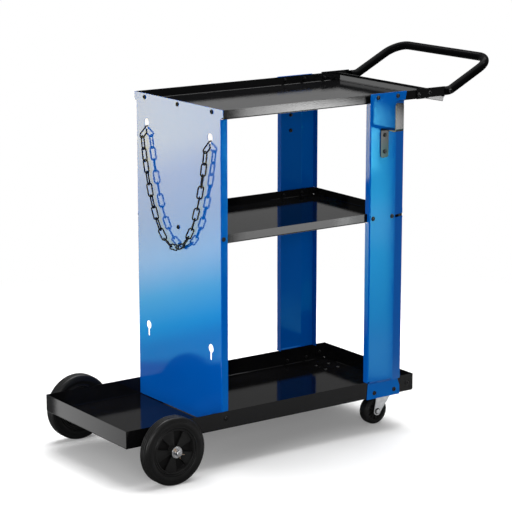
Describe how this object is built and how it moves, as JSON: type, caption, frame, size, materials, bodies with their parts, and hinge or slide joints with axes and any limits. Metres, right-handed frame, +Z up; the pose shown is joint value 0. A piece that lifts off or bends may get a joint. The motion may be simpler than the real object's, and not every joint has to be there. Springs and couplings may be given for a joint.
{
  "type": "welding cart",
  "caption": "Rolling welding cart of folded sheet: tray, shelves, rear panel with chain for gas cylinders, front posts with cable hooks, bent tube handle, wheels and swivel casters.",
  "frame": {"origin": "middle of the bounding box's base, on the floor", "axes": "+X from the cylinder bay towards the handle, +Y to the right hand of the person who pushes, +Z up"},
  "size_m": [1.2302, 0.566, 1.0417],
  "materials": {
    "blue_paint": "glossy",
    "black_paint": "glossy",
    "zinc": "zinc plated",
    "tyre_rubber": "matte",
    "hub_plastic": "satin",
    "caster_plastic": "satin",
    "chain_black": "satin"
  },
  "bodies": {
    "frame": {"rear_panel": "blue_paint", "front_post_left": "blue_paint", "front_post_right": "blue_paint", "bottom_tray": "black_paint", "middle_shelf": "black_paint", "top_shelf": "black_paint", "cable_hook_left": "black_paint", "cable_hook_right": "black_paint", "handle_bracket_left": "black_paint", "handle_bracket_right": "black_paint", "handle_tube": "black_paint", "axle_bracket_left": "black_paint", "axle_bracket_right": "black_paint", "shelf_spacer_1": "zinc", "shelf_spacer_2": "zinc", "shelf_spacer_3": "zinc", "shelf_spacer_4": "zinc", "rear_axle": "zinc", "axle_spacer_left": "zinc", "axle_washer_left": "zinc", "split_pin_left": "zinc", "caster_plate_left": "zinc", "slot_link_left": "chain_black", "end_link_left": "chain_black", "axle_spacer_right": "zinc", "axle_washer_right": "zinc", "split_pin_right": "zinc", "caster_plate_right": "zinc", "slot_link_right": "chain_black", "end_link_right": "chain_black"},
    "rear_wheel_left": {"tyre_left": "tyre_rubber", "wheel_hub_left": "hub_plastic"},
    "rear_wheel_right": {"tyre_right": "tyre_rubber", "wheel_hub_right": "hub_plastic"},
    "caster_swivel_left": {"caster_fork_left": "zinc"},
    "caster_swivel_right": {"caster_fork_right": "zinc"},
    "caster_roller_left": {"caster_wheel_left": "caster_plastic"},
    "caster_roller_right": {"caster_wheel_right": "caster_plastic"},
    "chain": {"chain_link_01": "chain_black", "chain_link_02": "chain_black", "chain_link_03": "chain_black", "chain_link_04": "chain_black", "chain_link_05": "chain_black", "chain_link_06": "chain_black", "chain_link_07": "chain_black", "chain_link_08": "chain_black", "chain_link_09": "chain_black", "chain_link_10": "chain_black", "chain_link_11": "chain_black", "chain_link_12": "chain_black", "chain_link_13": "chain_black", "chain_link_14": "chain_black", "chain_link_15": "chain_black", "chain_link_16": "chain_black", "chain_link_17": "chain_black", "chain_link_18": "chain_black", "chain_link_19": "chain_black", "chain_link_20": "chain_black", "chain_link_21": "chain_black"}
  },
  "joints": [
    {"name": "rear_wheel_left_spin", "type": "hinge", "parent": "frame", "child": "rear_wheel_left", "pos_m": [-0.49625, -0.242, 0.092], "axis": [0, 1, 0], "continuous": true},
    {"name": "caster_left_swivel", "type": "hinge", "parent": "frame", "child": "caster_swivel_left", "pos_m": [0.28175, -0.122, 0.08], "axis": [0, 0, 1], "continuous": true},
    {"name": "caster_left_roll", "type": "hinge", "parent": "caster_swivel_left", "child": "caster_roller_left", "pos_m": [0.26175, -0.122, 0.04], "axis": [0, 1, 0], "continuous": true},
    {"name": "rear_wheel_right_spin", "type": "hinge", "parent": "frame", "child": "rear_wheel_right", "pos_m": [-0.49625, 0.242, 0.092], "axis": [0, 1, 0], "continuous": true},
    {"name": "caster_right_swivel", "type": "hinge", "parent": "frame", "child": "caster_swivel_right", "pos_m": [0.28175, 0.122, 0.08], "axis": [0, 0, 1], "continuous": true},
    {"name": "caster_right_roll", "type": "hinge", "parent": "caster_swivel_right", "child": "caster_roller_right", "pos_m": [0.26175, 0.122, 0.04], "axis": [0, 1, 0], "continuous": true},
    {"name": "chain_swing", "type": "hinge", "parent": "frame", "child": "chain", "pos_m": [-0.32915, 0, 0.85142], "axis": [0, 1, 0], "range_deg": [0, 80]}
  ]
}
